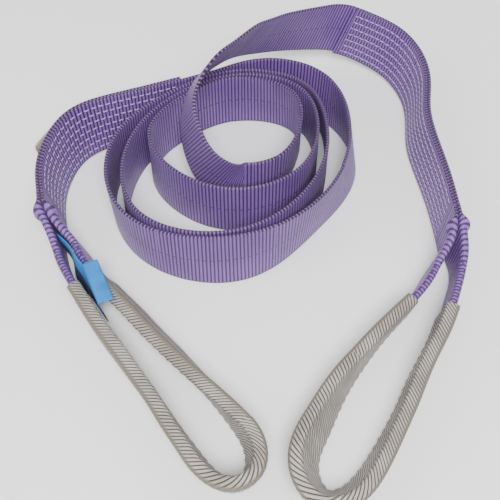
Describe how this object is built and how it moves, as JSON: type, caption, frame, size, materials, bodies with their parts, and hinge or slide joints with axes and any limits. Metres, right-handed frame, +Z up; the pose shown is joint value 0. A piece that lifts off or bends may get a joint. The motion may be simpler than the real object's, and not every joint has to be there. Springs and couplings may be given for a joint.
{
  "type": "flat web sling",
  "caption": "Flat woven lifting sling with a sleeved, folded soft eye at each end, stored in a loose coil standing on its edge.",
  "frame": {"origin": "middle of the sling's bounding box, on the floor that it stands on", "axes": "+X to the right across both arms, +Y from the eyes towards the back of the coil, +Z up along the web's width"},
  "size_m": [0.3244, 0.4238, 0.0981],
  "materials": {
    "web": "ribbed woven polyester",
    "thread": "sewing thread",
    "sleeve": "woven tubular sleeve",
    "seam": "sewing thread",
    "label": "coated label cloth",
    "tag": "plain cloth tape"
  },
  "bodies": {
    "body": {"body_web_1": "web", "body_web_2": "web", "body_web_3": "web", "body_web_4": "web", "body_web_5": "web", "body_web_6": "web", "lap_a_tail": "web", "lap_b_tail": "web", "lap_a_row_needle_1": "thread", "lap_a_row_needle_2": "thread", "lap_a_row_needle_3": "thread", "lap_a_row_needle_4": "thread", "lap_a_row_needle_5": "thread", "lap_a_row_needle_6": "thread", "lap_a_row_needle_7": "thread", "lap_a_row_bobbin_1": "thread", "lap_a_row_bobbin_2": "thread", "lap_a_row_bobbin_3": "thread", "lap_a_row_bobbin_4": "thread", "lap_a_row_bobbin_5": "thread", "lap_a_row_bobbin_6": "thread", "lap_a_row_bobbin_7": "thread", "lap_b_row_needle_1": "thread", "lap_b_row_needle_2": "thread", "lap_b_row_needle_3": "thread", "lap_b_row_needle_4": "thread", "lap_b_row_needle_5": "thread", "lap_b_row_needle_6": "thread", "lap_b_row_needle_7": "thread", "lap_b_row_bobbin_1": "thread", "lap_b_row_bobbin_2": "thread", "lap_b_row_bobbin_3": "thread", "lap_b_row_bobbin_4": "thread", "lap_b_row_bobbin_5": "thread", "lap_b_row_bobbin_6": "thread", "lap_b_row_bobbin_7": "thread", "tag_hem": "tag", "tag_stitch": "thread"},
    "eye_a": {"eye_a_web": "web", "eye_a_sleeve": "sleeve", "eye_a_seam_1": "seam", "eye_a_seam_2": "seam", "label_stem": "label"},
    "eye_b": {"eye_b_web": "web", "eye_b_sleeve": "sleeve", "eye_b_seam_1": "seam", "eye_b_seam_2": "seam"},
    "label_flap": {"label_flap": "label"},
    "tag_flap": {"tag_flap": "tag"}
  },
  "joints": [
    {"name": "eye_a_swing", "type": "hinge", "parent": "body", "child": "eye_a", "pos_m": [-0.13999, 0.01874, 0.025], "axis": [0, 0, 1], "range_deg": [-25, 0]},
    {"name": "eye_b_swing", "type": "hinge", "parent": "body", "child": "eye_b", "pos_m": [0.14957, 0.00287, 0.025], "axis": [0, 0, 1], "range_deg": [0, 25]},
    {"name": "label_flap_lift", "type": "hinge", "parent": "eye_a", "child": "label_flap", "pos_m": [-0.10872, -0.05079, 0.0315], "axis": [0.4036, -0.9149, 0], "range_deg": [0, 60]},
    {"name": "tag_flap_swing", "type": "hinge", "parent": "body", "child": "tag_flap", "pos_m": [-0.14524, 0.09156, 0.02623], "axis": [0.1622, -0.0873, -0.9829], "range_deg": [0, 40]}
  ]
}
